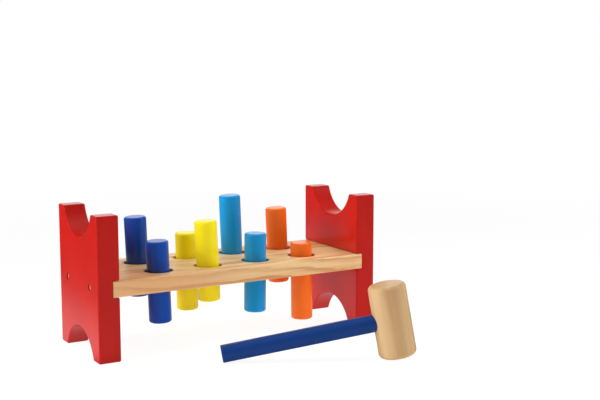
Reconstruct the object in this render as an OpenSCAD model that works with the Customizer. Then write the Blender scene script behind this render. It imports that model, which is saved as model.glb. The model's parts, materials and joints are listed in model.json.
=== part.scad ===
// Peg pounding bench: two notched side panels, a board let into them, eight pegs held by
// rubber rings in the board, and a mallet standing in front.
// Millimetres, +Z up, +X to the right along the board, -Y to the front.
// The origin is on the table, in the middle of the area that bench and mallet take up.

/* [Bench] */
// Length over the outer faces of the side panels
bench_length = 253; // [236:1:320]
// Depth of the panels and of the board, front to back
bench_depth = 87; // [80:1:110]
// Height of the side panels
bench_height = 115; // [105:1:122]

/* [Side panels] */
// Thickness of a side panel
panel_thickness = 18; // [15:0.5:24]
// Width of the top notch and of the foot arch at their mouths
notch_width = 60; // [50:1:62]
// Depth of the top notch and of the foot arch
notch_depth = 21.5; // [14:0.5:24]
// Rounding of the corners at the mouths of notch and arch
lip_radius = 1.5; // [1:0.1:4]
// Rounding of notch and arch where they run out at the panel's faces
notch_ease = 1.2; // [0.5:0.1:2]
// Rounding of the four corners of a panel's outline
corner_radius = 1.5; // [1:0.1:5]
// Rounding of a panel's long edges
panel_ease = 1.2; // [0.5:0.1:2]
// Depth of the groove that holds the board's end
groove_depth = 5.5; // [4:0.5:8]
// Rounding of the groove's mouth
groove_ease = 1.5; // [0.5:0.1:3.5]

/* [Board] */
// Thickness of the board
board_thickness = 13; // [11:0.5:18]
// Rounding of the board's long edges
board_ease = 1; // [0.5:0.1:2]
// Diameter of a peg hole
hole_diameter = 23.2; // [21:0.1:25]
// Bevel at the mouths of a peg hole
hole_bevel = 0.5; // [0.2:0.1:1]
// Distance from a side panel's inner face to the middle of the nearest holes
hole_margin = 41.5; // [38:0.5:46]
// Distance between the two rows of holes
row_spacing = 41; // [34:0.5:46]
// Largest distance along the board by which a hole is drilled off its place
hole_drift = 1.5; // [0:0.1:2]

/* [Pegs] */
// Diameter of a peg
peg_diameter = 18.4; // [16:0.1:19]
// Length of a peg
peg_length = 66.5; // [62:0.5:74]
// Rounding of a peg's ends
peg_rim = 1.6; // [1:0.1:3]
// Space that a fully driven peg leaves over the table
table_gap = 0.5; // [0.2:0.1:2]
// Largest lean of a peg in its hole, in degrees
peg_lean_max = 2.5; // [0:0.1:3]

/* [Grip rings] */
// Thickness of the rubber that a grip ring is made of
ring_wire = 4; // [3.4:0.1:5]
// Gap between a peg and its grip ring
ring_gap = 0.06; // [0.05:0.01:0.1]

/* [Screws] */
// Distance between the two screws of a side panel
screw_spacing = 50; // [40:1:56]
// Length of a screw
screw_length = 32; // [28:1:34]
// Diameter of a screw's shank
screw_diameter = 3; // [2.5:0.1:4.5]
// Diameter of a screw's head
screw_head = 5.6; // [5:0.1:8]
// Depth of a screw's head below the panel's face
screw_recess = 1.2; // [0.3:0.1:2]
// Width of the counterbore round a screw's head, on each side
screw_mouth = 0.2; // [0.2:0.1:1]
// Height of the straight rim of a screw's head
screw_rim = 0.4; // [0.2:0.1:0.8]
// Length of a screw's point
screw_point = 4; // [3:0.5:6]
// Length of each arm of the cross in a screw's head
cross_arm = 1.6; // [1.2:0.1:2.2]
// Width of the cross in a screw's head
cross_width = 0.8; // [0.6:0.1:1.2]
// Depth of the cross in a screw's head
cross_depth = 1.4; // [1:0.1:1.8]

/* [Mallet] */
// Diameter of the mallet's head
head_diameter = 30; // [26:0.5:36]
// Length of the mallet's head
head_length = 58; // [50:0.5:70]
// Rounding of the head's ends
head_rim = 3.5; // [2:0.1:5]
// Diameter of the handle
handle_diameter = 14; // [12:0.5:16]
// Distance from the head's middle to the butt of the handle
handle_reach = 135.5; // [110:0.5:160]
// Rounding of the handle's ends
handle_ease = 0.8; // [0.4:0.1:1.5]
// Depth of the blind bore that the handle is glued into
bore_depth = 20; // [14:0.5:22]
// Distance from the bench's front to the middle of the mallet's head
mallet_ahead = 96; // [80:1:130]
// Distance of the mallet's head to the right of the bench's middle
mallet_right = 79; // [40:1:100]
// Turn of the handle towards the bench, in degrees
mallet_turn = 24.5; // [0:0.5:30]

/* [Fits] */
// Gap between pieces that are glued or screwed together
joint_gap = 0.1; // [0.05:0.01:0.2]

/* [Hidden] */
$fn = 96;
// How far cutters run past the faces that they cut
overrun = 5;

// Height of every peg's lower end, as a share of its travel between table and flipped table,
// for each column of holes from left to right: back row, front row
peg_rise_shares = [[0.75, 0.45], [0.39, 0.72], [1, 0.42], [0.7, 0.17]];
// Lean of every peg as a share of the largest lean, in the same order; minus leans left
peg_lean_shares = [[-0.87, -0.74], [-0.27, -1], [-0.88, 0.3], [-0.98, -0.31]];
// Drift of every hole as a share of the largest drift, in the same order; minus drifts left
hole_drift_shares = [[-0.3, 0.3], [-0.3, -0.1], [-1, -0.5], [-0.5, -0.3]];

columns = len(peg_rise_shares);
peg_radius = peg_diameter / 2;
peg_travel = bench_height - 2 * table_gap - peg_length;
board_middle = bench_height / 2;
board_length = bench_length - 2 * (panel_thickness - groove_depth + joint_gap);
hole_pitch = (bench_length - 2 * (panel_thickness + hole_margin)) / (columns - 1);

// The notch and the arch are arcs of one circle, whose centre lies outside the panel.
notch_radius = (pow(notch_width / 2, 2) + pow(notch_depth, 2)) / (2 * notch_depth);
notch_centre = notch_radius - notch_depth;
lip_place = sqrt(pow(notch_radius + lip_radius, 2) - pow(notch_centre + lip_radius, 2));
lip_share = notch_radius / (notch_radius + lip_radius);

ring_bore = peg_radius + ring_gap;
ring_middle = ring_bore + ring_wire / 2;
ring_outside = ring_bore + ring_wire;

screw_sink = (screw_head - screw_diameter) / 2;

// The mallet stands on its head's rim and on the lower edge of its butt. With a the lean,
// both touch the table when rise * cos(a) - fall * sin(a) + rim_step = 0.
handle_radius = handle_diameter / 2;
head_radius = head_diameter / 2;
rise = head_length / 2 - head_rim - (handle_radius - handle_ease);
fall = handle_reach - handle_ease - (head_radius - head_rim);
rim_step = head_rim - handle_ease;
mallet_lean = acos(-rim_step / norm([rise, fall])) - atan2(fall, rise);
mallet_height = (head_length / 2 - head_rim) * cos(mallet_lean)
    + (head_radius - head_rim) * sin(mallet_lean) + head_rim;
mallet_heading = 180 - mallet_turn;

// The head's reach to the front sets where the middle of the whole set is.
head_tip = sin(mallet_lean) * sin(mallet_heading);
head_reach = (head_length / 2 - head_rim) * abs(head_tip)
    + (head_radius - head_rim) * sqrt(1 - head_tip * head_tip) + head_rim;
bench_y = (mallet_ahead + head_reach) / 2;

// A rectangle with true arcs at its corners, centred.
module rounded_rectangle(width, height, radius) {
    square([width - 2 * radius, height], center = true);
    square([width, height - 2 * radius], center = true);
    for (side = [-1, 1], end = [-1, 1]) {
        translate([side * (width / 2 - radius), end * (height / 2 - radius)]) circle(radius);
    }
}

// Half the section of a round bar with rounded ends, standing on its middle.
module bar_section(radius, length, rim) {
    translate([0, -length / 2]) square([radius - rim, length]);
    translate([0, rim - length / 2]) square([radius, length - 2 * rim]);
    for (end = [-1, 1]) {
        translate([radius - rim, end * (length / 2 - rim)]) circle(rim);
    }
}

module round_bar(radius, length, rim) {
    rotate_extrude() {
        intersection() {
            bar_section(radius, length, rim);
            translate([0, -length]) square([radius, 2 * length]);
        }
    }
}

// A plane shape drawn in Y and Z, made thick along X from zero.
module along_x(length) {
    rotate([90, 0, 90]) linear_extrude(length) children();
}

// A plane shape drawn in X and Z, made thick along Y, centred.
module along_y(length) {
    rotate([90, 0, 0]) linear_extrude(length, center = true) children();
}

// A slab with its outer face at X = 0, standing on the table.
module panel_blank() {
    intersection() {
        translate([0, 0, bench_height / 2])
            along_x(panel_thickness) rounded_rectangle(bench_depth, bench_height, corner_radius);
        translate([panel_thickness / 2, 0, bench_height / 2])
            along_y(bench_depth) rounded_rectangle(panel_thickness, bench_height, panel_ease);
        translate([panel_thickness / 2, 0, 0]) linear_extrude(bench_height)
            rounded_rectangle(panel_thickness, bench_depth, panel_ease);
    }
}

// The round cutter of the notch, flared where it leaves the panel's faces.
module notch_cutter() {
    rotate([0, 90, 0]) rotate_extrude() {
        translate([0, -overrun]) square([notch_radius, panel_thickness + 2 * overrun]);
        for (end = [0, 1]) translate([0, end * panel_thickness]) mirror([0, end]) {
            difference() {
                translate([0, -overrun]) square([notch_radius + notch_ease, overrun + notch_ease]);
                translate([notch_radius + notch_ease, notch_ease]) circle(notch_ease);
            }
        }
    }
}

// What is taken off the two sharp corners at the notch's mouth, in Y and Z from the edge up.
module lip_section() {
    for (side = [0, 1]) mirror([side, 0]) {
        difference() {
            polygon([
                [notch_width / 2 - lip_radius, overrun],
                [lip_place, overrun],
                [lip_place, 0],
                [lip_place, -lip_radius],
                [lip_place * lip_share, notch_centre - (notch_centre + lip_radius) * lip_share],
                [notch_width / 2 - lip_radius, -lip_radius]
            ]);
            translate([lip_place, -lip_radius]) circle(lip_radius);
        }
    }
}

// Notch and lips, cut down from the edge at Z = 0.
module notch() {
    translate([0, 0, notch_centre]) notch_cutter();
    translate([-overrun, 0, 0]) along_x(panel_thickness + 2 * overrun) lip_section();
}

// The groove for the board's end, in X and Z, with a rounded mouth.
module groove_section() {
    half = board_thickness / 2 + joint_gap;
    translate([-groove_depth, -half]) square([groove_depth + overrun, 2 * half]);
    for (side = [0, 1]) mirror([0, side]) {
        difference() {
            translate([-groove_ease, 0]) square([groove_ease + overrun, half + groove_ease]);
            translate([-groove_ease, half + groove_ease]) circle(groove_ease);
        }
    }
}

// Room for one screw, its outer end at X = 0 and its point towards +X.
module screw_room() {
    rotate([0, 90, 0]) {
        translate([0, 0, -overrun])
            cylinder(r = screw_head / 2 + screw_mouth, h = overrun + screw_recess + screw_rim);
        translate([0, 0, screw_recess + screw_rim])
            cylinder(r1 = screw_head / 2 + joint_gap, r2 = screw_diameter / 2 + joint_gap, h = screw_sink);
        cylinder(r = screw_diameter / 2 + joint_gap, h = screw_recess + screw_length + joint_gap);
    }
}

module at_screws() {
    for (side = [-1, 1]) translate([0, side * screw_spacing / 2, board_middle]) children();
}

module left_panel_shape() {
    difference() {
        panel_blank();
        translate([0, 0, bench_height]) notch();
        mirror([0, 0, 1]) notch();
        translate([panel_thickness, 0, board_middle])
            along_y(bench_depth + 2 * overrun) groove_section();
        at_screws() screw_room();
    }
}

// Puts a shape at the bench's left end, or its mirror image at the right end.
module at_end(right) {
    translate([0, bench_y, 0]) mirror([right, 0, 0]) translate([-bench_length / 2, 0, 0]) children();
}

module left_side_panel() {
    color("#c9281f") at_end(0) left_panel_shape();
}

module right_side_panel() {
    color("#c9281f") at_end(1) left_panel_shape();
}

// Moves a shape to a hole's centre in the middle of the board's thickness.
module at_hole(column, row) {
    drift = hole_drift * hole_drift_shares[column][row];
    x = (column - (columns - 1) / 2) * hole_pitch + drift;
    y = bench_y + (1 / 2 - row) * row_spacing;
    translate([x, y, board_middle]) children();
}

// A peg hole with bevelled mouths and the groove that holds the grip ring.
module hole_cutter() {
    hole_radius = hole_diameter / 2;
    half = board_thickness / 2;
    cylinder(r = hole_radius, h = board_thickness + 2 * overrun, center = true);
    cylinder(r = ring_outside + joint_gap, h = ring_wire + 2 * joint_gap, center = true);
    for (side = [0, 1]) mirror([0, 0, side]) translate([0, 0, half - hole_bevel])
        cylinder(r1 = hole_radius, r2 = hole_radius + 2 * hole_bevel, h = 2 * hole_bevel);
}

module board() {
    color("#dcb482") difference() {
        translate([-board_length / 2, bench_y, board_middle])
            along_x(board_length) rounded_rectangle(bench_depth, board_thickness, board_ease);
        for (column = [0:columns - 1], row = [0, 1]) at_hole(column, row) hole_cutter();
        for (right = [0, 1]) at_end(right) at_screws() screw_room();
    }
}

// A peg in its hole: it leans about the middle of its grip ring, and its share of the travel
// between both tables sets how far its middle is from that ring.
module peg(column, row) {
    lean = peg_lean_max * peg_lean_shares[column][row];
    middle = table_gap + peg_travel * peg_rise_shares[column][row] + peg_length / 2;
    at_hole(column, row) rotate([0, lean, 0]) translate([0, 0, middle - board_middle])
        round_bar(peg_radius, peg_length, peg_rim);
}

module peg_dark_blue_back() {
    color("#1e4191") peg(0, 0);
}

module peg_dark_blue_front() {
    color("#1e4191") peg(0, 1);
}

module peg_yellow_back() {
    color("#e1c80a") peg(1, 0);
}

module peg_yellow_front() {
    color("#e1c80a") peg(1, 1);
}

module peg_light_blue_back() {
    color("#1e87c3") peg(2, 0);
}

module peg_light_blue_front() {
    color("#1e87c3") peg(2, 1);
}

module peg_orange_back() {
    color("#e46423") peg(3, 0);
}

module peg_orange_front() {
    color("#e46423") peg(3, 1);
}

module grip_ring(column, row) {
    color("#1a1a1c") at_hole(column, row) rotate_extrude() translate([ring_middle, 0]) circle(ring_wire / 2);
}

// A countersunk wood screw, the top of its head at X = 0 and its point towards +X.
module screw_shape() {
    shank = screw_diameter / 2;
    rotate([0, 90, 0]) difference() {
        union() {
            cylinder(r = screw_head / 2, h = screw_rim);
            translate([0, 0, screw_rim]) cylinder(r1 = screw_head / 2, r2 = shank, h = screw_sink);
            cylinder(r = shank, h = screw_length - screw_point);
            translate([0, 0, screw_length - screw_point]) cylinder(r1 = shank, r2 = 0, h = screw_point);
        }
        for (turn = [45, 135]) rotate([0, 0, turn])
            cube([2 * cross_arm, cross_width, 2 * cross_depth], center = true);
    }
}

module screw(right, side) {
    color("#b39a5c") at_end(right) translate([screw_recess, side * screw_spacing / 2, board_middle])
        screw_shape();
}

module screw_left_back() {
    screw(0, 1);
}

module screw_left_front() {
    screw(0, -1);
}

module screw_right_back() {
    screw(1, 1);
}

module screw_right_front() {
    screw(1, -1);
}

// Places a mallet piece, drawn with its head upright round Z and its handle along +X.
module as_mallet_stands() {
    translate([mallet_right, bench_y - bench_depth / 2 - mallet_ahead, mallet_height])
        rotate([0, 0, mallet_heading]) rotate([0, mallet_lean, 0]) children();
}

module mallet_head() {
    color("#dcbe8c") as_mallet_stands() difference() {
        round_bar(head_radius, head_length, head_rim);
        translate([head_radius - bore_depth, 0, 0]) rotate([0, 90, 0])
            cylinder(r = handle_radius + joint_gap, h = bore_depth + overrun);
    }
}

module mallet_handle() {
    inner_end = head_radius - bore_depth + joint_gap;
    handle_length = handle_reach - inner_end;
    color("#1e3c7d") as_mallet_stands() translate([inner_end + handle_length / 2, 0, 0])
        rotate([0, 90, 0]) round_bar(handle_radius, handle_length, handle_ease);
}

left_side_panel();
right_side_panel();
board();
peg_dark_blue_back();
peg_dark_blue_front();
peg_yellow_back();
peg_yellow_front();
peg_light_blue_back();
peg_light_blue_front();
peg_orange_back();
peg_orange_front();
grip_ring(0, 0);  // grip_ring_1_back
grip_ring(0, 1);  // grip_ring_1_front
grip_ring(1, 0);  // grip_ring_2_back
grip_ring(1, 1);  // grip_ring_2_front
grip_ring(2, 0);  // grip_ring_3_back
grip_ring(2, 1);  // grip_ring_3_front
grip_ring(3, 0);  // grip_ring_4_back
grip_ring(3, 1);  // grip_ring_4_front
screw_left_back();
screw_left_front();
screw_right_back();
screw_right_front();
mallet_head();
mallet_handle();
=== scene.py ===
"""Finish and setting of a peg pounding bench with its mallet.

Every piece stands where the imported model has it, in metres, +Z up and -Y to the front. The
pieces are side panels, board, pegs, grip rings, screws, mallet head and mallet handle.
"""

import json
import math
from typing import NamedTuple

import bmesh
import bpy
from bpy.props import FloatProperty, FloatVectorProperty, PointerProperty
from mathutils import Matrix, Vector


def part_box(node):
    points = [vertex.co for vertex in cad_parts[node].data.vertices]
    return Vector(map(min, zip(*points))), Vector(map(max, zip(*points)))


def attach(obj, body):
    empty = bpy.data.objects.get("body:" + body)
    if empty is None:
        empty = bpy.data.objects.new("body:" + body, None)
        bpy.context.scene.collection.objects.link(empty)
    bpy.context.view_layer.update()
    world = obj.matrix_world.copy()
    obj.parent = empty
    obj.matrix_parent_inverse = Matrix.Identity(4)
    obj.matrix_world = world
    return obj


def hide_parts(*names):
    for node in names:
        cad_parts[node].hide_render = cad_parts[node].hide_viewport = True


bl_info = {
    "name": "Peg Pounding Bench",
    "version": (1, 0, 0),
    "blender": (4, 5, 0),
    "location": "View3D > Sidebar > Pounding Bench",
    "description": "Builds a wooden pounding bench, its pegs, rings and screws, and its mallet",
    "category": "Object",
}

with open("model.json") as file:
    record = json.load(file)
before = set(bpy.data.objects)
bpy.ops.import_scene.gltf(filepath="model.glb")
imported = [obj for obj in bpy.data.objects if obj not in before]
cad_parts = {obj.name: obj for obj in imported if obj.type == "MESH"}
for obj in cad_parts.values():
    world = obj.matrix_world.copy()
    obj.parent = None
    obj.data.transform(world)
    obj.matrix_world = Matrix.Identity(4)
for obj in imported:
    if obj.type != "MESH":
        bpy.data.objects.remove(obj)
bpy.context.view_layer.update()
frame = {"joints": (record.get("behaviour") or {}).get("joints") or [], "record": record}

MM = 0.001
# How far cutters run past the faces that they cut
OVERRUN = 4 * MM
# What keeps a cutter's points off the very faces that it cuts
OFF_FACE = 0.02 * MM
# Points of a mesh that lie closer than this become one
WELD_REACH = OFF_FACE / 10
# Gap at glued joints and round the rings
GLUE_GAP = 0.1 * MM
# Steps round a turned piece, round its rims, over an eased edge and round a ring's wire
TURN_STEPS = 96
RIM_STEPS = 8
EDGE_STEPS = 6
WIRE_STEPS = 24
# Steps along the curves of a panel's outline
NOTCH_STEPS = 36
LIP_STEPS = 10
CORNER_STEPS = 10
# How far the grain of one piece may be shifted against that of the next, in millimetres
PIECE_SHIFT = 900
# Plain white with its alpha
WHITE = (1, 1, 1, 1)
X_AXIS = Vector((1, 0, 0))
Y_AXIS = Vector((0, 1, 0))
Z_AXIS = Vector((0, 0, 1))
# Takes what is drawn for the left end round to the right end
HALF_TURN = Matrix.Rotation(math.pi, 4, "Z")
# Edges that turn by more than this stay crisp
CRISP_ANGLE = math.radians(32)

PANEL_LOW, PANEL_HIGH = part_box("left_side_panel")
BOARD_LOW, BOARD_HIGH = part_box("board")
PANEL_SIZE = PANEL_HIGH - PANEL_LOW
BOARD_SIZE = BOARD_HIGH - BOARD_LOW
BOARD_MIDDLE = (BOARD_LOW + BOARD_HIGH) / 2
JOINTS = {joint["child"]: joint for joint in frame["joints"]}
BODIES = frame["record"]["behaviour"]["bodies"]
BODY_OF = {node: body for body, nodes in BODIES.items() for node in nodes}
PEG_COLOURS = ["dark_blue", "yellow", "light_blue", "orange"]
ROWS = ["back", "front"]
ENDS = ["left", "right"]
RINGS = [f"grip_ring_{column + 1}_{row}" for column in range(len(PEG_COLOURS)) for row in ROWS]


def shade(red, green, blue):
    """A colour as a screen shows it, from 0 to 255, in the linear values that finishes use."""
    def linear(value):
        """One part of the colour by the screen's own curve."""
        part = value / 255
        return part / 12.92 if part <= 0.04045 else ((part + 0.055) / 1.055) ** 2.4
    return (linear(red), linear(green), linear(blue))


def length(label, words, size):
    """A length that a user can change."""
    return FloatProperty(
        name=label, description=words, default=size, min=0, unit="LENGTH", subtype="DISTANCE",
    )


def tint(label, words, value):
    """A colour that a user can change."""
    return FloatVectorProperty(
        name=label, description=words, default=value, min=0, max=1, subtype="COLOR",
    )


class PanelSettings(bpy.types.PropertyGroup):
    """Sizes and colour of the side panels"""
    notch_width: length("Notch width", "Width of the top notch and of the foot arch", 60 * MM)
    notch_depth: length("Notch depth", "Depth of the top notch and of the foot arch", 21.5 * MM)
    lip_radius: length("Lip radius", "Rounding at the mouths of notch and arch", 1.5 * MM)
    corner_radius: length("Corner radius", "Rounding of the outline's four corners", 1.5 * MM)
    notch_ease: length("Notch easing", "Rounding where the notch meets the faces", 1.2 * MM)
    edge_ease: length("Edge easing", "Rounding of the long edges", 1.2 * MM)
    groove_depth: length(
        "Groove depth", "Depth of the groove for the board's end", PANEL_HIGH.x - BOARD_LOW.x + GLUE_GAP
    )
    groove_ease: length("Groove easing", "Rounding of the groove's mouth", 1.5 * MM)
    groove_end_ease: length("Groove end easing", "Rounding where the groove runs out", 1.2 * MM)
    red: tint("Red", "Colour of the side panels", shade(184, 18, 8))


class BoardSettings(bpy.types.PropertyGroup):
    """Sizes and colours of the board"""
    edge_ease: length("Edge easing", "Rounding of the long edges", 1 * MM)
    hole_diameter: length("Hole diameter", "Diameter of a peg hole", 23.2 * MM)
    hole_ease: length("Hole easing", "Rounding of a hole's mouths", 0.6 * MM)
    joint_gap: length("Joint gap", "Gap at glued joints and round the rings", GLUE_GAP)
    early_wood: tint("Early wood", "Colour of the pale wood between the rings", shade(248, 214, 157))
    late_wood: tint("Late wood", "Colour of the darker growth rings", shade(212, 150, 97))


class PegSettings(bpy.types.PropertyGroup):
    """Size and colours of the pegs"""
    rim: length("Rim", "Rounding of a peg's ends", 1.6 * MM)
    dark_blue: tint("Dark blue", "Colour of the first column of pegs", shade(8, 72, 171))
    yellow: tint("Yellow", "Colour of the second column of pegs", shade(255, 233, 0))
    light_blue: tint("Light blue", "Colour of the third column of pegs", shade(3, 146, 212))
    orange: tint("Orange", "Colour of the fourth column of pegs", shade(255, 112, 19))


class RingSettings(bpy.types.PropertyGroup):
    """Colour of the rings"""
    black: tint("Black", "Colour of the rubber rings", shade(28, 26, 27))


class ScrewSettings(bpy.types.PropertyGroup):
    """Sizes and colour of the screws"""
    shank_diameter: length("Shank diameter", "Diameter of a screw's shank", 3 * MM)
    head_rim: length("Head rim", "Height of the straight rim of the head", 0.4 * MM)
    mouth: length("Mouth", "Width of the counterbore round a head", 0.2 * MM)
    point: length("Point", "Length of a screw's point", 4 * MM)
    hole_ease: length("Hole easing", "Rounding of the mouth of a screw's hole", 0.3 * MM)
    cross_arm: length("Cross arm", "Length of each arm of the cross in the head", 1.6 * MM)
    cross_width: length("Cross width", "Width of the cross in the head", 0.8 * MM)
    cross_depth: length("Cross depth", "Depth of the cross in the head", 1.4 * MM)
    brass: tint("Brass", "Colour of the plated screws", shade(242, 200, 150))


class MalletSettings(bpy.types.PropertyGroup):
    """Sizes and colours of the mallet"""
    head_diameter: length("Head diameter", "Diameter of the mallet's head", 30 * MM)
    head_length: length("Head length", "Length of the mallet's head", 58 * MM)
    head_rim: length("Head rim", "Rounding of the head's ends", 3.5 * MM)
    bore_depth: length("Bore depth", "Depth of the bore that holds the handle", 20 * MM)
    handle_diameter: length("Handle diameter", "Diameter of the handle", 14 * MM)
    handle_ease: length("Handle easing", "Rounding of the handle's ends", 0.8 * MM)
    early_wood: tint("Early wood", "Pale wood of the mallet's head", shade(201, 168, 122))
    late_wood: tint("Late wood", "Darker growth rings of the mallet's head", shade(180, 132, 89))
    handle_blue: tint("Handle blue", "Colour of the handle", shade(15, 56, 122))


class StageSettings(bpy.types.PropertyGroup):
    """The camera and the floor"""
    camera_place: FloatVectorProperty(
        name="Camera place", description="Where the camera stands", subtype="XYZ", unit="LENGTH",
        default=(-425.33 * MM, -797.75 * MM, 246.78 * MM),
    )
    camera_turn: FloatProperty(
        name="Camera turn", description="Turn of the view from the back towards the right",
        default=math.radians(30.483), subtype="ANGLE", unit="ROTATION",
    )
    camera_tilt: FloatProperty(
        name="Camera tilt", description="How far the view looks down",
        default=math.radians(7.95), subtype="ANGLE", unit="ROTATION",
    )
    lens: FloatProperty(
        name="Lens", description="Focal length in millimetres", default=68.518,
        subtype="DISTANCE_CAMERA",
    )
    floor_reach: length("Floor reach", "Distance from the middle to the floor's edge", 6000 * MM)
    floor_white: tint("Floor", "Colour of the floor", (0.92, 0.92, 0.92))


# Points and meshes

def arc(centre, radius, start, end, steps):
    """Points on an arc round a centre, with angles in degrees."""
    points = []
    for step in range(steps + 1):
        angle = math.radians(start + (end - start) * step / steps)
        points.append((centre[0] + radius * math.cos(angle), centre[1] + radius * math.sin(angle)))
    return points


def lofted(loops):
    """A solid between loops of as many points each, closed flat at both ends."""
    bm = bmesh.new()
    rows = [[bm.verts.new(point) for point in loop] for loop in loops]
    for low, high in zip(rows, rows[1:]):
        for i in range(len(low)):
            j = (i + 1) % len(low)
            bm.faces.new((low[i], low[j], high[j], high[i]))
    bm.faces.new(list(reversed(rows[0])))
    bm.faces.new(rows[-1])
    bmesh.ops.recalc_face_normals(bm, faces=bm.faces)
    return bm


def turned(profile, ring=False):
    """A solid turned round Z from (radius, height) points; a ring's profile closes on itself."""
    bm = bmesh.new()
    rows = []
    for radius, height in profile:
        if radius == 0:
            rows.append([bm.verts.new((0, 0, height))])
            continue
        angles = [2 * math.pi * step / TURN_STEPS for step in range(TURN_STEPS)]
        rows.append([bm.verts.new((radius * math.cos(a), radius * math.sin(a), height)) for a in angles])
    if ring:
        rows.append(rows[0])
    for low, high in zip(rows, rows[1:]):
        for i in range(TURN_STEPS):
            j = (i + 1) % TURN_STEPS
            if len(low) == 1:
                bm.faces.new((low[0], high[j], high[i]))
            elif len(high) == 1:
                bm.faces.new((low[i], low[j], high[0]))
            else:
                bm.faces.new((low[i], low[j], high[j], high[i]))
    bmesh.ops.recalc_face_normals(bm, faces=bm.faces)
    return bm


def as_object(bm, name):
    """An object made from the mesh that was drawn for it."""
    mesh = bpy.data.meshes.new(name)
    bm.to_mesh(mesh)
    bm.free()
    made = bpy.data.objects.new(name, mesh)
    bpy.context.scene.collection.objects.link(made)
    return made


def cut(piece, cutters):
    """Takes each shape of a list of (mesh, matrix) pairs off a piece."""
    for number, (shape, place) in enumerate(cutters):
        bmesh.ops.transform(shape, matrix=place, verts=shape.verts)
        cutter = as_object(shape, f"cutter_{number}")
        bite = piece.modifiers.new("cut", "BOOLEAN")
        bite.operation = "DIFFERENCE"
        bite.solver = "EXACT"
        bite.object = cutter
        bpy.context.view_layer.update()
        whole = piece.data
        changed = piece.evaluated_get(bpy.context.evaluated_depsgraph_get())
        piece.data = bpy.data.meshes.new_from_object(changed)
        piece.modifiers.clear()
        # The cutter's object goes with its mesh
        for used in (whole, cutter.data):
            bpy.data.meshes.remove(used)


def smooth(piece):
    """Shades a piece smoothly but for its crisp edges, with flat faces kept flat."""
    bm = bmesh.new()
    bm.from_mesh(piece.data)
    bmesh.ops.remove_doubles(bm, verts=bm.verts, dist=WELD_REACH)
    bmesh.ops.recalc_face_normals(bm, faces=bm.faces)
    bm.to_mesh(piece.data)
    bm.free()
    piece.data.polygons.foreach_set("use_smooth", [True] * len(piece.data.polygons))
    piece.data.set_sharp_from_angle(angle=CRISP_ANGLE)
    even = piece.modifiers.new("even_shading", "WEIGHTED_NORMAL")
    even.keep_sharp = True


def settle(piece, node, place, finish):
    """Puts a finished piece in its node's place, on the node's body.

    Its turn goes into its mesh, so that its own box stays upright.
    """
    turn = place.to_3x3().to_4x4()
    piece.data.transform(turn)
    smooth(piece)
    piece.data.materials.clear()
    piece.data.materials.append(finish)
    piece.matrix_world = Matrix.Translation(place.translation)
    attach(piece, BODY_OF[node])
    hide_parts(node)


def bar_profile(radius, size, rim):
    """Profile of a round bar with rounded ends, standing on its middle."""
    half = size / 2
    lower = arc((radius - rim, rim - half), rim, -90, 0, RIM_STEPS)
    upper = arc((radius - rim, half - rim), rim, 0, 90, RIM_STEPS)
    return [(0, -half)] + lower + upper + [(0, half)]


def upright_to(direction):
    """The turn that takes +Z to a direction."""
    return Z_AXIS.rotation_difference(direction).to_matrix().to_4x4()


# Finishes

class Pattern(NamedTuple):
    """A noise in a finish."""
    # How often it repeats in a millimetre: alike all ways, or along, across and through the grain
    repeats: float | tuple
    detail: float
    roughness: float


class Stain(NamedTuple):
    """A second tone that follows a noise."""
    # Two values of the noise, and the share of the stain at each of them
    reach: tuple
    shares: tuple
    # Factors that make the tone from a base colour
    tone: tuple


class Wood(NamedTuple):
    """How a piece of bare wood lies in its log, and how it shows."""
    # How far the piece lies from the pith, across the grain and through it, in millimetres
    pith: tuple
    # Distance from one growth ring to the next, in millimetres
    spacing: float
    # How far the rings drift for each millimetre along the grain
    slope: float
    # How plainly rings, streaks, fibres and pores show
    strength: float
    # Roughness of the clear lacquer
    roughness: float
    # Where along the piece its heartwood tone starts and is full, in metres; this tone is partly the
    # wood's own and partly painted shade, darker towards the left end
    heart_and_shade: tuple = None


# The board's heartwood tone is partly painted shade, darker on its front face towards the left end
BOARD_WOOD = Wood(
    pith=(18.0, 46.0), spacing=7.5, slope=0.05, strength=1.0, roughness=0.42, heart_and_shade=(150 * MM, -20 * MM)
)
MALLET_WOOD = Wood(pith=(0.0, 40.0), spacing=11.0, slope=0.02, strength=0.6, roughness=0.3)

# What bends the growth rings of bare wood: a slow wander, in millimetres, and a ripple, in rings
WANDER = Pattern((0.006, 0.02, 0.02), 2.0, 0.45)
WANDER_BEND = 34.0
RIPPLE = Pattern((0.03, 0.25, 0.25), 3.0, 0.55)
RIPPLE_BEND = 0.9
# Where in a ring its dark late wood starts and is full, and where it fades and ends
LATE_RISE = (0.3, 0.86)
LATE_FALL = (0.9, 0.99)
# Broad streaks along the grain, and how plainly late wood shows outside them and in them
STREAK = Pattern((0.004, 0.16, 0.16), 3.0, 0.55)
STREAK_REACH = (0.3, 0.7)
LATE_SHARES = (0.35, 1.0)
# Fine fibres and open pores
FIBRE = Pattern((0.02, 2.4, 2.4), 4.0, 0.6)
PORE = Pattern((0.18, 3.0, 3.0), 2.0, 0.5)
# Stains of the late wood's colour by the wander, the streaks, the fibres and the pores
WANDER_STAIN = Stain((0.4, 0.75), (0.0, 0.55), (1.1, 1.02, 0.96))
STREAK_STAIN = Stain((0.5, 0.76), (0.0, 0.6), (1.0, 1.0, 1.0))
FIBRE_STAIN = Stain((0.3, 0.7), (0.14, 0.0), (0.66, 0.66, 0.66))
PORE_STAIN = Stain((0.68, 0.78), (0.0, 0.3), (0.6, 0.6, 0.6))
# How far the edge of the heartwood tone wanders along the grain; the tone is partly painted shade
HEART_SHADE_WANDER = 160 * MM
# Places across the board between which its heartwood tone fades out, and its share in front of them;
# there it is painted shade on the board's front face and the front of its top
HEART_SHADE_DEPTH = (-42 * MM, -25 * MM)
HEART_SHADE_SHARE = 0.62
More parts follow.
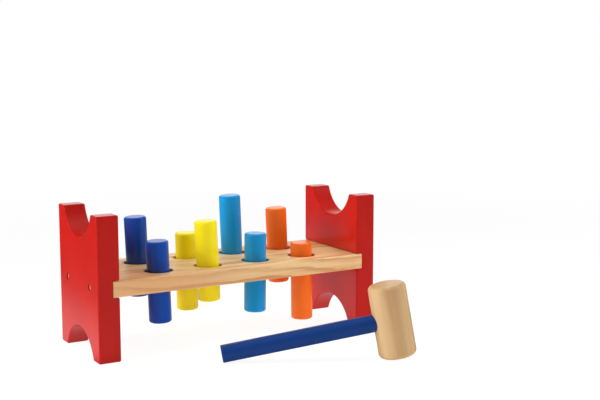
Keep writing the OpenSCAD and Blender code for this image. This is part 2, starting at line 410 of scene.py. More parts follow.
# Width, share and tone of the handled edges of bare wood
HANDLED_WIDTH = 1.2 * MM
HANDLED_SHARE = 0.18
HANDLED_TONE = (0.8, 0.8, 0.8)
# Relief of bare wood: the heights of fibres and late wood, then its strength and depth
FIBRE_HEIGHT = 0.5
LATE_HEIGHT = 0.5
WOOD_RELIEF = (0.35, 0.06 * MM)
# Values of the fibres between which roughness falls, and how far it goes either side of the wood's
WOOD_GLOSS_REACH = (0.25, 0.75)
WOOD_GLOSS_CHANGE = 0.05
WOOD_SHADER = {"IOR": 1.5, "Specular IOR Level": 0.35}

# Clouds of tone in lacquer, between a deep and a light tone
CLOUD = Pattern(0.03, 2.0, 0.5)
CLOUD_REACH = (0.3, 0.7)
DEEP_TONE = (0.94, 0.94, 0.94)
LIGHT_TONE = (1.03, 1.03, 1.03)
# The wood's fibres, which show faintly through lacquer
COVERED_FIBRE = Pattern((0.03, 1.3, 1.3), 3.0, 0.6)
COVERED_STAIN = Stain((0.56, 0.8), (0.0, 0.16), (0.78, 0.78, 0.78))
# Width of the edges where lacquer is thin
THIN_WIDTH = 0.8 * MM
# Specks in lacquer, two of their values, and how far those let the wood through on the edges
SPECK = Pattern(1.9, 3.0, 0.6)
WEAR = (0.42, 0.7, 0.04, 0.2)
# Colour of bare wood where the lacquer is thin, and its share there
BARE_TONE = (0.72, 0.5, 0.28)
BARE_SHARE = 0.2
# Relief of lacquer: the heights of its orange peel and of the fibres, then its strength and depth
PEEL = Pattern(0.8, 1.0, 0.4)
PEEL_HEIGHT = 0.5
COVERED_HEIGHT = 0.4
LACQUER_RELIEF = (0.25, 0.04 * MM)
# Two values of the specks, and the roughness at each
LACQUER_ROUGHNESS = (0.3, 0.75, 0.3, 0.4)
LACQUER_SHADER = {
    "IOR": 1.5, "Specular IOR Level": 0.2, "Coat Weight": 0.6, "Coat Roughness": 0.17, "Coat IOR": 1.5,
}

# Dust on rubber, two of its values, and its share at each
DUST = Pattern(0.35, 2.0, 0.5)
DUST_SHARE = (0.45, 0.8, 0.0, 0.5)
# What dust makes of black: so many times as pale, with a little white added
DUST_FACTOR = 2.2
DUST_WHITE = 0.01
# The moulded skin of rubber, the strength and depth of its relief, and the roughness at two values
SKIN = Pattern(2.2, 3.0, 0.6)
SKIN_RELIEF = (0.4, 0.05 * MM)
SKIN_ROUGHNESS = (0.3, 0.7, 0.62, 0.82)

# Turning marks on plated metal, and the strength and depth of their relief
TURNING = Pattern((0.6, 6.0, 6.0), 3.0, 0.6)
TURNING_RELIEF = (0.4, 0.03 * MM)
# Dull specks on plated metal, and the roughness at two of their values
TARNISH = Pattern(0.9, 3.0, 0.6)
TARNISH_STAIN = Stain((0.45, 0.75), (0.0, 0.6), (0.7, 0.7, 0.7))
TARNISH_ROUGHNESS = (0.3, 0.7, 0.42, 0.56)
METAL_SHADER = {"Metallic": 0.65}

# Cosines between a face and its rounded neighbourhood, on the flats and on the edges
EDGE_MATCH = (0.995, 0.9)
EDGE_SAMPLES = 4


class Nodes:
    """An emptied node tree, with short calls for the nodes that finishes and surroundings use."""

    def __init__(self, tree):
        self.tree = tree
        tree.nodes.clear()

    def add(self, kind, values=None, **settings):
        """A new node, with its inputs set or linked by name or number."""
        node = self.tree.nodes.new(kind)
        for key, value in settings.items():
            setattr(node, key, value)
        for key, value in (values or {}).items():
            if isinstance(value, bpy.types.NodeSocket):
                self.tree.links.new(value, node.inputs[key])
            else:
                node.inputs[key].default_value = value
        return node

    def sum(self, operation, first, second=0.0, third=0.0):
        """The result of one sum on numbers."""
        return self.add("ShaderNodeMath", {0: first, 1: second, 2: third}, operation=operation).outputs[0]

    def reach(self, first, second):
        """The product of two vectors, which says how far one reaches along the other."""
        both = {0: first, 1: second}
        return self.add("ShaderNodeVectorMath", both, operation="DOT_PRODUCT").outputs["Value"]

    def size(self, vector):
        """The length of a vector."""
        return self.add("ShaderNodeVectorMath", {0: vector}, operation="LENGTH").outputs["Value"]

    def pattern(self, space, kind):
        """The values of a noise."""
        scale = kind.repeats
        if isinstance(scale, tuple):
            space = self.add("ShaderNodeMapping", {"Vector": space, "Scale": scale}).outputs[0]
            scale = 1.0
        values = {"Vector": space, "Scale": scale, "Detail": kind.detail, "Roughness": kind.roughness}
        return self.add("ShaderNodeTexNoise", values).outputs["Fac"]

    def ramp(self, factor, low, high, first=0.0, last=1.0):
        """A number taken smoothly from one range to another."""
        values = {"Value": factor, "From Min": low, "From Max": high, "To Min": first, "To Max": last}
        return self.add("ShaderNodeMapRange", values, interpolation_type="SMOOTHSTEP").outputs[0]

    def blend(self, factor, first, second):
        """A mix of two colours."""
        values = {0: factor, 6: opaque(first), 7: opaque(second)}
        return self.add("ShaderNodeMix", values, data_type="RGBA").outputs[2]

    def stain(self, colour, noise, kind, base, strength=1.0):
        """A colour with a tone of a base colour where a noise brings it."""
        first, last = (share * strength for share in kind.shares)
        return self.blend(self.ramp(noise, *kind.reach, first, last), colour, toned(base, kind.tone))

    def relief(self, height, strength, depth):
        """The normals of a surface with a fine relief."""
        values = {"Strength": strength, "Distance": depth, "Height": height}
        return self.add("ShaderNodeBump", values).outputs[0]

    def glow(self, strength):
        """White light of its own."""
        return self.add("ShaderNodeEmission", {"Color": WHITE, "Strength": strength}).outputs[0]

    def own_space(self, along, across):
        """Millimetres along the grain, across it and through it, shifted along for each piece."""
        here = self.add("ShaderNodeTexCoord").outputs["Object"]
        luck = self.add("ShaderNodeObjectInfo").outputs["Random"]
        parts = [self.reach(here, axis / MM) for axis in (along, across, along.cross(across))]
        parts[0] = self.sum("MULTIPLY_ADD", luck, PIECE_SHIFT, parts[0])
        return self.add("ShaderNodeCombineXYZ", dict(zip("XYZ", parts))).outputs[0]

    def edges(self, width):
        """One on the rounded edges and zero on the flats."""
        rounded = self.add("ShaderNodeBevel", {"Radius": width}, samples=EDGE_SAMPLES).outputs[0]
        true = self.add("ShaderNodeNewGeometry").outputs["Normal"]
        return self.ramp(self.reach(rounded, true), *EDGE_MATCH)


class Finish(Nodes):
    """The nodes of one material."""

    def __init__(self, name):
        self.material = bpy.data.materials.new(name)
        self.material.use_nodes = True
        super().__init__(self.material.node_tree)

    def close(self, shader):
        """The material, with its shader joined to its output."""
        output = self.add("ShaderNodeOutputMaterial", {"Surface": shader})
        output.target = "ALL"
        return self.material

    def surface(self, colour, roughness, normal, constants=None):
        """The material, with what is the same all over it set on its shader."""
        values = {"Base Color": colour, "Roughness": roughness, "Normal": normal, **(constants or {})}
        return self.close(self.add("ShaderNodeBsdfPrincipled", values).outputs[0])


def opaque(colour):
    """A colour with its alpha, or a socket as it is."""
    if isinstance(colour, bpy.types.NodeSocket):
        return colour
    return tuple(colour)[:3] + (1.0,)


def toned(colour, tone):
    """A colour with each of its parts multiplied by a factor."""
    return tuple(part * factor for part, factor in zip(colour, tone))


def growth_rings(finish, space, wood):
    """Where a point lies between two growth rings, from 0 to 1, and the wander that bends them."""
    wander = finish.pattern(space, WANDER)
    ripple = finish.pattern(space, RIPPLE)
    parts = finish.add("ShaderNodeSeparateXYZ", {0: space}).outputs
    bend = finish.sum("MULTIPLY_ADD", wander, WANDER_BEND, finish.sum("MULTIPLY", parts["X"], wood.slope))
    across = finish.sum("ADD", parts["Y"], wood.pith[0])
    deep = finish.sum("ADD", finish.sum("ADD", parts["Z"], wood.pith[1]), bend)
    arm = finish.add("ShaderNodeCombineXYZ", {"X": across, "Y": deep}).outputs[0]
    rings = finish.sum("DIVIDE", finish.size(arm), wood.spacing)
    return finish.sum("FRACT", finish.sum("MULTIPLY_ADD", ripple, RIPPLE_BEND, rings)), wander


def heartwood_and_painted_shade(finish, along, across, streak, reach):
    """The share of heartwood tone, whose edge wanders with the streaks: partly the wood's own darker
    tone, partly painted shade on the board's front face, darker towards the left end.
    """
    here = finish.add("ShaderNodeTexCoord").outputs["Object"]
    edge = finish.sum("MULTIPLY_ADD", streak, HEART_SHADE_WANDER, finish.reach(here, along))
    depth = finish.ramp(finish.reach(here, across), *HEART_SHADE_DEPTH, HEART_SHADE_SHARE, 0.0)
    return finish.sum("MULTIPLY", finish.ramp(edge, *reach), depth)


def bare_wood(name, along, across, early, late, wood):
    """Clear-lacquered wood: growth rings, fibres, pores and broad bands of tone, and, where a piece has
    one, a heartwood tone that is partly painted shade.
    """
    finish = Finish(name)
    space = finish.own_space(along, across)
    ring, wander = growth_rings(finish, space, wood)
    line = finish.sum("MULTIPLY", finish.ramp(ring, *LATE_RISE), finish.ramp(ring, *LATE_FALL, 1.0, 0.0))
    fibre = finish.pattern(space, FIBRE)
    streak = finish.pattern(space, STREAK)
    pore = finish.pattern(space, PORE)
    weak, strong = (share * wood.strength for share in LATE_SHARES)
    band = finish.sum("MULTIPLY", line, finish.ramp(streak, *STREAK_REACH, weak, strong))
    colour = finish.blend(band, early, late)
    colour = finish.stain(colour, wander, WANDER_STAIN, late, wood.strength)
    # Heartwood tone, partly painted shade: darker on the front face towards the left end
    if wood.heart_and_shade:
        colour = finish.blend(heartwood_and_painted_shade(finish, along, across, streak, wood.heart_and_shade), colour, late)
    colour = finish.stain(colour, streak, STREAK_STAIN, late, wood.strength)
    colour = finish.stain(colour, fibre, FIBRE_STAIN, late, wood.strength)
    colour = finish.stain(colour, pore, PORE_STAIN, late, wood.strength)
    handled = finish.sum("MULTIPLY", finish.edges(HANDLED_WIDTH), HANDLED_SHARE)
    colour = finish.blend(handled, colour, toned(late, HANDLED_TONE))
    height = finish.sum("MULTIPLY_ADD", fibre, FIBRE_HEIGHT, finish.sum("MULTIPLY", line, LATE_HEIGHT))
    normal = finish.relief(height, *WOOD_RELIEF)
    dull = wood.roughness + WOOD_GLOSS_CHANGE
    bright = wood.roughness - WOOD_GLOSS_CHANGE
    roughness = finish.ramp(fibre, *WOOD_GLOSS_REACH, dull, bright)
    return finish.surface(colour, roughness, normal, WOOD_SHADER)


def lacquer(name, along, across, colour):
    """Satin lacquer over wood: faint grain below, orange peel above, a little thin on the edges."""
    finish = Finish(name)
    space = finish.own_space(along, across)
    cloud = finish.pattern(space, CLOUD)
    peel = finish.pattern(space, PEEL)
    speck = finish.pattern(space, SPECK)
    fibre = finish.pattern(space, COVERED_FIBRE)
    light = tuple(min(1.0, part) for part in toned(colour, LIGHT_TONE))
    mixed = finish.blend(finish.ramp(cloud, *CLOUD_REACH), toned(colour, DEEP_TONE), light)
    mixed = finish.stain(mixed, fibre, COVERED_STAIN, colour)
    wear = finish.ramp(speck, *WEAR)
    worn = finish.sum("MULTIPLY", finish.edges(THIN_WIDTH), wear)
    thin = tuple((1 - BARE_SHARE) * part + BARE_SHARE * bare for part, bare in zip(colour, BARE_TONE))
    mixed = finish.blend(worn, mixed, thin)
    height = finish.sum("MULTIPLY_ADD", peel, PEEL_HEIGHT, finish.sum("MULTIPLY", fibre, COVERED_HEIGHT))
    normal = finish.relief(height, *LACQUER_RELIEF)
    roughness = finish.ramp(speck, *LACQUER_ROUGHNESS)
    return finish.surface(mixed, roughness, normal, LACQUER_SHADER)


def rubber(name, colour):
    """Dull black rubber with a moulded skin."""
    finish = Finish(name)
    space = finish.own_space(X_AXIS, Y_AXIS)
    skin = finish.pattern(space, SKIN)
    dusty = tuple(part * DUST_FACTOR + DUST_WHITE for part in colour)
    mixed = finish.blend(finish.ramp(finish.pattern(space, DUST), *DUST_SHARE), colour, dusty)
    roughness = finish.ramp(skin, *SKIN_ROUGHNESS)
    return finish.surface(mixed, roughness, finish.relief(skin, *SKIN_RELIEF))


def plated_metal(name, colour):
    """Brass-coloured plating with fine turning marks and dull specks."""
    finish = Finish(name)
    space = finish.own_space(X_AXIS, Y_AXIS)
    marks = finish.pattern(space, TURNING)
    tarnish = finish.pattern(space, TARNISH)
    mixed = finish.stain(colour, tarnish, TARNISH_STAIN, colour)
    roughness = finish.ramp(tarnish, *TARNISH_ROUGHNESS)
    return finish.surface(mixed, roughness, finish.relief(marks, *TURNING_RELIEF), METAL_SHADER)


# Pieces

# How wide the cross in a screw's head is where it ends, as a share of its width at the face
CROSS_TIP_SHARE = 0.5
# Easing of the edge of a screw's head, as a share of its straight rim
HEAD_EASE_SHARE = 0.25


def quarter_outline(s):
    """A quarter of a panel's outline in Y and Z, from the notch's bottom to the panel's back.

    Each point has its outward normal and the rounding of the edge there.
    """
    radius = ((s.notch_width / 2) ** 2 + s.notch_depth ** 2) / (2 * s.notch_depth)
    rise = radius - s.notch_depth
    top = PANEL_SIZE.z / 2
    lip_y = math.sqrt((radius + s.lip_radius) ** 2 - (rise + s.lip_radius) ** 2)
    toward = math.degrees(math.atan2(rise + s.lip_radius, lip_y))
    corner = (PANEL_SIZE.y / 2 - s.corner_radius, top - s.corner_radius)
    stretches = [
        ((0, top + rise), radius, -90, -toward, NOTCH_STEPS, -1, s.notch_ease),
        ((lip_y, top - s.lip_radius), s.lip_radius, 180 - toward, 90, LIP_STEPS, 1, s.notch_ease),
        (corner, s.corner_radius, 90, 0, CORNER_STEPS, 1, s.edge_ease),
    ]
    points = []
    for centre, size, start, end, steps, outward, ease in stretches:
        for y, z in arc(centre, size, start, end, steps):
            normal = (outward * (y - centre[0]) / size, outward * (z - centre[1]) / size)
            if not points or math.dist(points[-1][0], (y, z)) > OFF_FACE:
                points.append(((y, z), normal, ease))
    return points


def mirrored(points, side, end):
    """Outline points mirrored in Y, in Z or in both."""
    return [((side * p[0], end * p[1]), (side * n[0], end * n[1]), ease) for p, n, ease in points]


def panel_blank(s):
    """A panel without its groove and holes, its outer face at X = 0 and its middle at Y = Z = 0."""
    quarter = quarter_outline(s)
    back = quarter[::-1]
    outline = quarter + mirrored(back, 1, -1) + mirrored(quarter, -1, -1)[1:] + mirrored(back, -1, 1)[:-1]
    loops = []
    for face in (0, 1):
        for step in range(EDGE_STEPS + 1):
            angle = math.pi / 2 * (step / EDGE_STEPS if face == 0 else 1 - step / EDGE_STEPS)
            loop = []
            for (y, z), (out_y, out_z), ease in outline:
                depth = ease * (1 - math.cos(angle))
                inset = ease * (1 - math.sin(angle))
                x = PANEL_SIZE.x - depth if face else depth
                loop.append((x, y - out_y * inset, z - out_z * inset))
            loops.append(loop)
    return lofted(loops)


def groove_cutter(s, gap):
    """The room for the board's end, with a rounded mouth, widening where it runs out."""
    half = BOARD_SIZE.z / 2 + gap
    face = PANEL_SIZE.x + OFF_FACE

    def section(y, wider):
        """The groove's outline at one place along Y, widened by as much as it runs out there."""
        centre = (face - s.groove_ease, half + s.groove_ease)
        mouth = arc(centre, s.groove_ease - wider, 0, -90, EDGE_STEPS)
        bottom = face - s.groove_depth - wider
        upper = [(face + OVERRUN, half + s.groove_ease)] + mouth + [(bottom, half + wider)]
        lower = [(x, -z) for x, z in reversed(upper)]
        return [(x, y, z) for x, z in upper + lower]

    end = PANEL_SIZE.y / 2
    flare = s.groove_end_ease
    half_way = [(end + OVERRUN, flare)]
    for step in range(EDGE_STEPS + 1):
        angle = math.pi / 2 * step / EDGE_STEPS
        half_way.append((end + OFF_FACE - flare * (1 - math.cos(angle)), flare * (1 - math.sin(angle))))
    loops = [section(-y, wider) for y, wider in half_way]
    loops += [section(y, wider) for y, wider in reversed(half_way)]
    return lofted(loops)


def left_screws():
    """The boxes of the left end's two screws, which those of the right end mirror."""
    return [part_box(f"screw_left_{row}") for row in ROWS]


def screw_room(settings, gap, low, high):
    """What a screw takes out of the wood, along +Z from the panel's outer face at zero."""
    recess = low.x - PANEL_LOW.x
    head = (high.y - low.y) / 2
    shank = settings.shank_diameter / 2
    outside = head + settings.mouth
    seat = recess + settings.head_rim
    ease = settings.hole_ease
    profile = [(0, -OVERRUN), (outside + ease, -OVERRUN)]
    profile += arc((outside + ease, ease - OFF_FACE), ease, -90, -180, EDGE_STEPS)
    profile += [
        (outside, seat), (head + gap, seat), (shank + gap, seat + head - shank),
        (shank + gap, recess + (high.x - low.x) + gap), (0, recess + (high.x - low.x) + gap),
    ]
    return turned(profile)


def along_x(x, y, z):
    """Takes +Z to +X and the origin to a place."""
    return Matrix.Translation((x, y, z)) @ Matrix.Rotation(math.pi / 2, 4, "Y")


def side_panels(context):
    """Both panels, drawn as the left one, with the right one mirrored."""
    scene = context.scene
    s = scene.bench_panels
    gap = scene.bench_board.joint_gap
    finish = lacquer("red_lacquer", Z_AXIS, Y_AXIS, s.red)
    middle = (PANEL_LOW + PANEL_HIGH) / 2
    for end in ENDS:
        panel = as_object(panel_blank(s), f"dressed_{end}_side_panel")
        cutters = [(groove_cutter(s, gap), Matrix.Identity(4))]
        for low, high in left_screws():
            y = (low.y + high.y) / 2 - middle.y
            cutters.append((screw_room(scene.bench_screws, gap, low, high), along_x(0, y, 0)))
        cut(panel, cutters)
        if end == "right":
            panel.data.transform(Matrix.Diagonal((-1, 1, 1, 1)))
            panel.data.flip_normals()
        place = Vector((PANEL_LOW.x if end == "left" else -PANEL_LOW.x, middle.y, middle.z))
        settle(panel, f"{end}_side_panel", Matrix.Translation(place), finish)


def hole_cutter(s, ring_low, ring_high):
    """A peg hole with eased mouths and the groove that holds its grip ring."""
    radius = s.hole_diameter / 2
    ease = s.hole_ease
    half = BOARD_SIZE.z / 2 + OFF_FACE
    groove_half = (ring_high.z - ring_low.z) / 2 + s.joint_gap
    groove_radius = (ring_high.x - ring_low.x) / 2 + s.joint_gap
    upper = [(0, half + OVERRUN), (radius + ease, half + OVERRUN)]
    upper += arc((radius + ease, half - ease), ease, 90, 180, EDGE_STEPS)
    upper += [(radius, groove_half), (groove_radius, groove_half)]
    return turned(upper + [(size, -height) for size, height in reversed(upper)])


def board_blank(s):
    """A board without its holes, with eased long edges and its middle at zero."""
    half_x, half_y, half_z = BOARD_SIZE / 2
    outline = []
    for quarter, (side, end) in enumerate([(1, 1), (-1, 1), (-1, -1), (1, -1)]):
        centre = (side * (half_y - s.edge_ease), end * (half_z - s.edge_ease))
        outline += arc(centre, s.edge_ease, 90 * quarter, 90 * quarter + 90, EDGE_STEPS)
    return lofted([[(x, y, z) for y, z in outline] for x in (-half_x, half_x)])


def board(context):
    """The board with its peg holes and the screws' holes in its ends."""
    scene = context.scene
    s = scene.bench_board
    slab = as_object(board_blank(s), "dressed_board")
    cutters = []
    for node in RINGS:
        low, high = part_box(node)
        place = (low + high) / 2 - BOARD_MIDDLE
        cutters.append((hole_cutter(s, low, high), Matrix.Translation(place)))
    for low, high in left_screws():
        y = (low.y + high.y) / 2 - BOARD_MIDDLE.y
        for side, turn in ((1, Matrix.Identity(4)), (-1, HALF_TURN)):
            room = screw_room(scene.bench_screws, s.joint_gap, low, high)
            cutters.append((room, turn @ along_x(PANEL_LOW.x, side * y, 0)))
    cut(slab, cutters)
    finish = bare_wood("plain_wood", X_AXIS, Y_AXIS, s.early_wood, s.late_wood, BOARD_WOOD)
    settle(slab, "board", Matrix.Translation(BOARD_MIDDLE), finish)


def peg_place(node, rim):
    """A peg's middle, axis, radius and length, from its node and its joint."""
    low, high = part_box(node)
    axis = Vector(JOINTS[node]["axis"]).normalized()
    radius = (high.y - low.y) / 2
    # Pegs lean in X alone, so a box is as deep as its peg, and as high as the rim on the raised side
    lean = abs(axis.x)
    half = ((high.z - low.z) / 2 - rim - (radius - rim) * lean) / axis.z + rim
    return (low + high) / 2, axis, radius, 2 * half


def pegs(context):
    """The eight pegs, each along its own leaning axis."""
    s = context.scene.bench_pegs
    for colour in PEG_COLOURS:
        finish = lacquer(f"{colour}_lacquer", Z_AXIS, X_AXIS, getattr(s, colour))
        for row in ROWS:
            node = f"peg_{colour}_{row}"
            middle, axis, radius, size = peg_place(node, s.rim)
            peg = as_object(turned(bar_profile(radius, size, s.rim)), f"dressed_{node}")
            settle(peg, node, Matrix.Translation(middle) @ upright_to(axis), finish)


def grip_rings(context):
    """The rubber rings in the grooves of the peg holes."""
    finish = rubber("black_rubber", context.scene.bench_rings.black)
    for node in RINGS:
        low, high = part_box(node)
        wire = (high.z - low.z) / 2
        centre = ((high.x - low.x) / 2 - wire, 0)
        profile = arc(centre, wire, 0, 360, WIRE_STEPS)[:-1]
        ring = as_object(turned(profile, ring=True), f"dressed_{node}")
        settle(ring, node, Matrix.Translation((low + high) / 2), finish)


def cross_cutter(s):
    """The tapering cross that a driver turns, from the head's face at zero towards +Z."""
    arm = s.cross_arm
    half = s.cross_width / 2
    corner = [(arm, -half), (arm, half), (half, half)]
    loops = []
    for depth, share in ((-s.cross_depth, 1.0), (0, 1.0), (s.cross_depth, CROSS_TIP_SHARE)):
        loop = []
        for quarter in range(4):
            turn = Matrix.Rotation(math.pi / 2 * quarter, 2)
            loop += [tuple(turn @ Vector(point) * share) + (depth,) for point in corner]
        loops.append(loop)
    return lofted(loops)


def screw_profile(s, head, size):
    """Half the outline of a screw, from the middle of its head to its point."""
    shank = s.shank_diameter / 2
    ease = s.head_rim * HEAD_EASE_SHARE
    rim = arc((head - ease, ease), ease, -90, 0, EDGE_STEPS) + [(head, s.head_rim)]
    return [(0, 0)] + rim + [(shank, s.head_rim + head - shank), (shank, size - s.point), (0, size)]


def screws(context):
    """The four screws, each with its head at its panel's outer face."""
    s = context.scene.bench_screws
    finish = plated_metal("screw_metal", s.brass)
    for end in ENDS:
        for row in ROWS:
            node = f"screw_{end}_{row}"
            low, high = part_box(node)
            profile = screw_profile(s, (high.y - low.y) / 2, high.x - low.x)
            screw = as_object(turned(profile), f"dressed_{node}")
            cut(screw, [(cross_cutter(s), Matrix.Rotation(math.pi / 4, 4, "Z"))])
            y = (low.y + high.y) / 2
            z = (low.z + high.z) / 2
            if end == "left":
                place = along_x(low.x, y, z)
            else:
                place = HALF_TURN @ along_x(-high.x, -y, z)
            settle(screw, node, place, finish)


def mallet_axes():
    """The middles of head and handle, and the mallet's own X, along the handle, and own Z."""
    head_low, head_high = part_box("mallet_head")
    handle_low, handle_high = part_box("mallet_handle")
    head_middle = (head_low + head_high) / 2
    handle_middle = (handle_low + handle_high) / 2
    along = (handle_middle - head_middle).normalized()
    upright = (Z_AXIS - along * along.z).normalized()
    return head_middle, handle_middle, along, upright


def mallet_place(middle, along, upright):
    """The matrix that puts a piece drawn round Z, with the handle along +X, in its place."""
    turn = Matrix((along, upright.cross(along), upright)).transposed().to_4x4()
    return Matrix.Translation(middle) @ turn


def mallet_head(context):
    """The head, bored from its side for the handle."""
    s = context.scene.bench_mallet
    gap = context.scene.bench_board.joint_gap
    head_middle, _, along, upright = mallet_axes()
    radius = s.head_diameter / 2
    head = as_object(turned(bar_profile(radius, s.head_length, s.head_rim)), "dressed_mallet_head")
    bore = s.handle_diameter / 2 + gap
    start = radius - s.bore_depth
    profile = [(0, start), (bore, start), (bore, radius + OVERRUN), (0, radius + OVERRUN)]
    cut(head, [(turned(profile), along_x(0, 0, 0))])
    finish = bare_wood("mallet_wood", upright, along, s.early_wood, s.late_wood, MALLET_WOOD)
    settle(head, "mallet_head", mallet_place(head_middle, along, upright), finish)


def mallet_handle(context):
    """The handle, from the bottom of the head's bore to its butt."""
    s = context.scene.bench_mallet
    gap = context.scene.bench_board.joint_gap
    head_middle, handle_middle, along, upright = mallet_axes()
    inner_end = s.head_diameter / 2 - s.bore_depth + gap
    size = 2 * ((handle_middle - head_middle).length - inner_end)
    profile = bar_profile(s.handle_diameter / 2, size, s.handle_ease)
    handle = as_object(turned(profile), "dressed_mallet_handle")
    finish = lacquer("handle_lacquer", along, upright, s.handle_blue)
    place = Matrix.Translation(handle_middle) @ upright_to(along)
    settle(handle, "mallet_handle", place, finish)


# Stage

# Softboxes, each with its place, its width and height in metres and its power in watts
LAMPS = {
    "left_softbox": ((-2.0, 0.0, 0.6), (2.0, 1.3), 27.5),
    "back_softbox": ((-1.7, 0.9, 0.6), (1.6, 1.3), 26.0),
    "right_softbox": ((0.75, -0.35, 0.42), (0.6, 0.6), 5.4),
    "top_softbox": ((0, 0.1, 1.4), (1.3, 1.1), 12.0),
}
# The point that every lamp faces
LIT_POINT = (0, 0.02, 0.05)
# Strength of the light that comes evenly from all round
FILL_LIGHT = 0.1
# Share of plain white in the floor next to the set, and where that share grows to one, in metres
SHADOW_SHARE = 0.85
SHADOW_REACH = (0.35, 1.1)
# What gloss sees: the table near the set, the sweep behind it, the ceiling and the dim studio
TABLE_GLOSS = 0.55
SWEEP_GLOSS = 1.0
CEILING_GLOSS = 0.13
DARK_GLOSS = 0.03
# How strongly the light table lights the set from below
TABLE_GLOW = 0.45
# Where the lit part of the table ends, in metres from the middle
TABLE_REACH = (0.28, 0.46)
# Where the part of the table that gloss sees bright starts at the left and in front, in metres
GLOSS_LEFT = (-0.22, -0.14)
GLOSS_FRONT = (0.0, 0.06)
# Where that part ends, in metres from the middle
GLOSS_REACH = (0.45, 0.65)
# Where the sweep starts and is full, as the cosine of the angle from the line of sight
SWEEP_EDGE = (0.7, 0.9)
# Where the ceiling starts and is full, as the sine of the angle above the horizon
CEILING_EDGE = (0.1, 0.8)
# Width of the camera's sensor in millimetres, and how near to the camera things still show
SENSOR_WIDTH = 36
CLIP_START = 10 * MM


def floor_finish(white):
    """A white floor that takes soft shadows near the set and is plain white far away.

    Gloss sees it bright behind the set and dim further off, as on a table in a dark studio.
    """
    finish = Finish("floor_white")
    here = finish.add("ShaderNodeTexCoord").outputs["Object"]
    away = finish.size(here)
    path = finish.add("ShaderNodeLightPath").outputs
    seen = finish.sum("MAXIMUM", path["Is Camera Ray"], path["Is Transmission Ray"])
    share = finish.sum("MULTIPLY", seen, finish.ramp(away, *SHADOW_REACH, SHADOW_SHARE, 1.0))
    matt = finish.add("ShaderNodeBsdfDiffuse", {"Color": opaque(white)}).outputs[0]
    under = finish.glow(finish.ramp(away, *TABLE_REACH, TABLE_GLOW, 0.0))
    lit = finish.add("ShaderNodeAddShader", {0: matt, 1: under}).outputs[0]
    plain = finish.add("ShaderNodeMixShader", {0: share, 1: lit, 2: finish.glow(1.0)}).outputs[0]
    place = finish.add("ShaderNodeSeparateXYZ", {0: here}).outputs
    left = finish.ramp(place["X"], *GLOSS_LEFT)
    front = finish.ramp(place["Y"], *GLOSS_FRONT)
    far = finish.ramp(away, *GLOSS_REACH, TABLE_GLOSS, DARK_GLOSS)
    bright = finish.sum("MULTIPLY", finish.sum("MULTIPLY", left, front), far)
    mirrored = finish.glow(finish.sum("MAXIMUM", bright, DARK_GLOSS))
    both = {0: path["Is Glossy Ray"], 1: plain, 2: mirrored}
    return finish.close(finish.add("ShaderNodeMixShader", both).outputs[0])


def soft_lamp(name, place, size, power):
    """A large lamp that faces the set and gives no hard highlight, as through a diffuser."""
    lamp = bpy.data.lights.new(name, "AREA")
    lamp.shape = "RECTANGLE"
    lamp.size, lamp.size_y = size
    lamp.energy = power
    holder = bpy.data.objects.new(name, lamp)
    holder.visible_camera = False
    holder.visible_glossy = False
    bpy.context.scene.collection.objects.link(holder)
    holder.location = place
    holder.rotation_euler = (Vector(place) - Vector(LIT_POINT)).to_track_quat("Z", "Y").to_euler()


def studio_world(scene, turn):
    """Even light all round, plain white where the camera or glass looks straight at it.

    Gloss sees the white sweep behind the set, a pale ceiling and a dim studio elsewhere.
    """
    world = bpy.data.worlds.new("studio")
    scene.world = world
    world.use_nodes = True
    around = Nodes(world.node_tree)
    path = around.add("ShaderNodeLightPath").outputs
    there = around.add("ShaderNodeTexCoord").outputs["Generated"]
    facing = around.reach(there, (math.sin(turn), math.cos(turn), 0))
    height = around.add("ShaderNodeSeparateXYZ", {0: there}).outputs["Z"]
    ceiling = around.ramp(height, *CEILING_EDGE, DARK_GLOSS, CEILING_GLOSS)
    white = around.sum("MAXIMUM", ceiling, around.ramp(facing, *SWEEP_EDGE, 0.0, SWEEP_GLOSS))
    gloss = around.sum("MULTIPLY", path["Is Glossy Ray"], white)
    direct = around.sum("MAXIMUM", path["Is Camera Ray"], path["Is Transmission Ray"])
    fill = around.sum("MULTIPLY_ADD", path["Is Glossy Ray"], -FILL_LIGHT, FILL_LIGHT)
    strength = around.sum("MAXIMUM", around.sum("MAXIMUM", direct, gloss), fill)
    light = around.add("ShaderNodeBackground", {"Color": WHITE, "Strength": strength})
    around.add("ShaderNodeOutputWorld", {"Surface": light.outputs[0]})


def stage(context):
    """The floor, the lamps, the surroundings and the camera."""
    scene = context.scene
    s = scene.bench_stage
    reach = s.floor_reach
    bm = bmesh.new()
    corners = [(-reach, -reach, 0), (reach, -reach, 0), (reach, reach, 0), (-reach, reach, 0)]
    bm.faces.new([bm.verts.new(corner) for corner in corners])
    floor = as_object(bm, "floor")
    floor.data.materials.append(floor_finish(s.floor_white))
    for name, (place, size, power) in LAMPS.items():
        soft_lamp(name, place, size, power)
    studio_world(scene, s.camera_turn)
    camera = bpy.data.cameras.new("camera")
    camera.lens = s.lens
    camera.sensor_width = SENSOR_WIDTH
    camera.clip_start = CLIP_START
    holder = bpy.data.objects.new("camera", camera)
    scene.collection.objects.link(holder)
    holder.location = s.camera_place
    holder.rotation_euler = (math.pi / 2 - s.camera_tilt, 0, -s.camera_turn)
    scene.camera = holder
    scene.view_settings.view_transform = "Standard"


# Operators

class BENCH_OT_side_panels(bpy.types.Operator):
    """Build the two red side panels with their notches, grooves and screw holes"""
    bl_idname = "bench.side_panels"
    bl_label = "Side Panels"

    def execute(self, context):
        side_panels(context)
        return {"FINISHED"}


class BENCH_OT_board(bpy.types.Operator):
    """Build the plain wood board with its eight holes"""
    bl_idname = "bench.board"
    bl_label = "Board"

    def execute(self, context):
        board(context)
        return {"FINISHED"}


class BENCH_OT_pegs(bpy.types.Operator):
    """Build the eight coloured pegs"""
    bl_idname = "bench.pegs"
    bl_label = "Pegs"

    def execute(self, context):
        pegs(context)
        return {"FINISHED"}


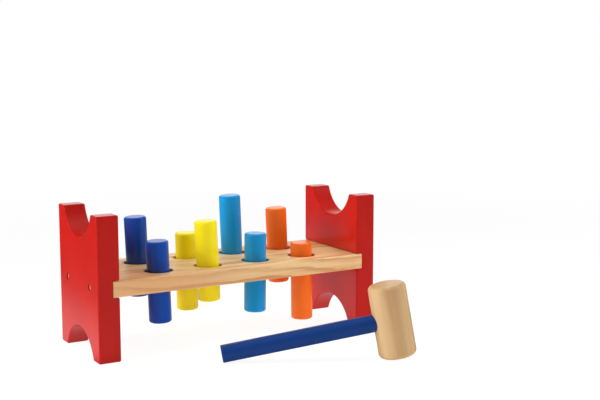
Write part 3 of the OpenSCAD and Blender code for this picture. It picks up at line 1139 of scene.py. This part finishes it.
class BENCH_OT_grip_rings(bpy.types.Operator):
    """Build the rubber rings that hold the pegs"""
    bl_idname = "bench.grip_rings"
    bl_label = "Grip Rings"

    def execute(self, context):
        grip_rings(context)
        return {"FINISHED"}


class BENCH_OT_screws(bpy.types.Operator):
    """Build the screws that hold the board between the panels"""
    bl_idname = "bench.screws"
    bl_label = "Screws"

    def execute(self, context):
        screws(context)
        return {"FINISHED"}


class BENCH_OT_mallet_head(bpy.types.Operator):
    """Build the mallet's plain wood head with the bore for its handle"""
    bl_idname = "bench.mallet_head"
    bl_label = "Mallet Head"

    def execute(self, context):
        mallet_head(context)
        return {"FINISHED"}


class BENCH_OT_mallet_handle(bpy.types.Operator):
    """Build the mallet's dark blue handle"""
    bl_idname = "bench.mallet_handle"
    bl_label = "Mallet Handle"

    def execute(self, context):
        mallet_handle(context)
        return {"FINISHED"}


class BENCH_OT_stage(bpy.types.Operator):
    """Set up the floor, the lamps, the surroundings and the camera"""
    bl_idname = "bench.stage"
    bl_label = "Stage"

    def execute(self, context):
        stage(context)
        return {"FINISHED"}


class BENCH_PT_pieces(bpy.types.Panel):
    """Lists the pieces of the bench and their sizes and colours"""
    bl_label = "Pounding Bench"
    bl_space_type = "VIEW_3D"
    bl_region_type = "UI"
    bl_category = "Pounding Bench"

    def draw(self, context):
        for operator, group in PIECES:
            box = self.layout.box()
            box.operator(operator.bl_idname)
            settings = getattr(context.scene, group)
            for key in settings.__annotations__:
                box.prop(settings, key)


SETTINGS = {
    "bench_panels": PanelSettings,
    "bench_board": BoardSettings,
    "bench_pegs": PegSettings,
    "bench_rings": RingSettings,
    "bench_screws": ScrewSettings,
    "bench_mallet": MalletSettings,
    "bench_stage": StageSettings,
}
PIECES = [
    (BENCH_OT_side_panels, "bench_panels"),
    (BENCH_OT_board, "bench_board"),
    (BENCH_OT_pegs, "bench_pegs"),
    (BENCH_OT_grip_rings, "bench_rings"),
    (BENCH_OT_screws, "bench_screws"),
    (BENCH_OT_mallet_head, "bench_mallet"),
    (BENCH_OT_mallet_handle, "bench_mallet"),
    (BENCH_OT_stage, "bench_stage"),
]


def register():
    """Adds the settings, the operators and the panel."""
    for group, settings in SETTINGS.items():
        bpy.utils.register_class(settings)
        setattr(bpy.types.Scene, group, PointerProperty(type=settings))
    for operator, _ in PIECES:
        bpy.utils.register_class(operator)
    bpy.utils.register_class(BENCH_PT_pieces)


def unregister():
    """Takes the panel, the operators and the settings away."""
    bpy.utils.unregister_class(BENCH_PT_pieces)
    for operator, _ in reversed(PIECES):
        bpy.utils.unregister_class(operator)
    for group, settings in reversed(SETTINGS.items()):
        delattr(bpy.types.Scene, group)
        bpy.utils.unregister_class(settings)


def main():
    """Builds every piece and the stage."""
    register()
    bpy.ops.bench.side_panels()
    bpy.ops.bench.board()
    bpy.ops.bench.pegs()
    bpy.ops.bench.grip_rings()
    bpy.ops.bench.screws()
    bpy.ops.bench.mallet_head()
    bpy.ops.bench.mallet_handle()
    bpy.ops.bench.stage()


if __name__ == "__main__":
    main()
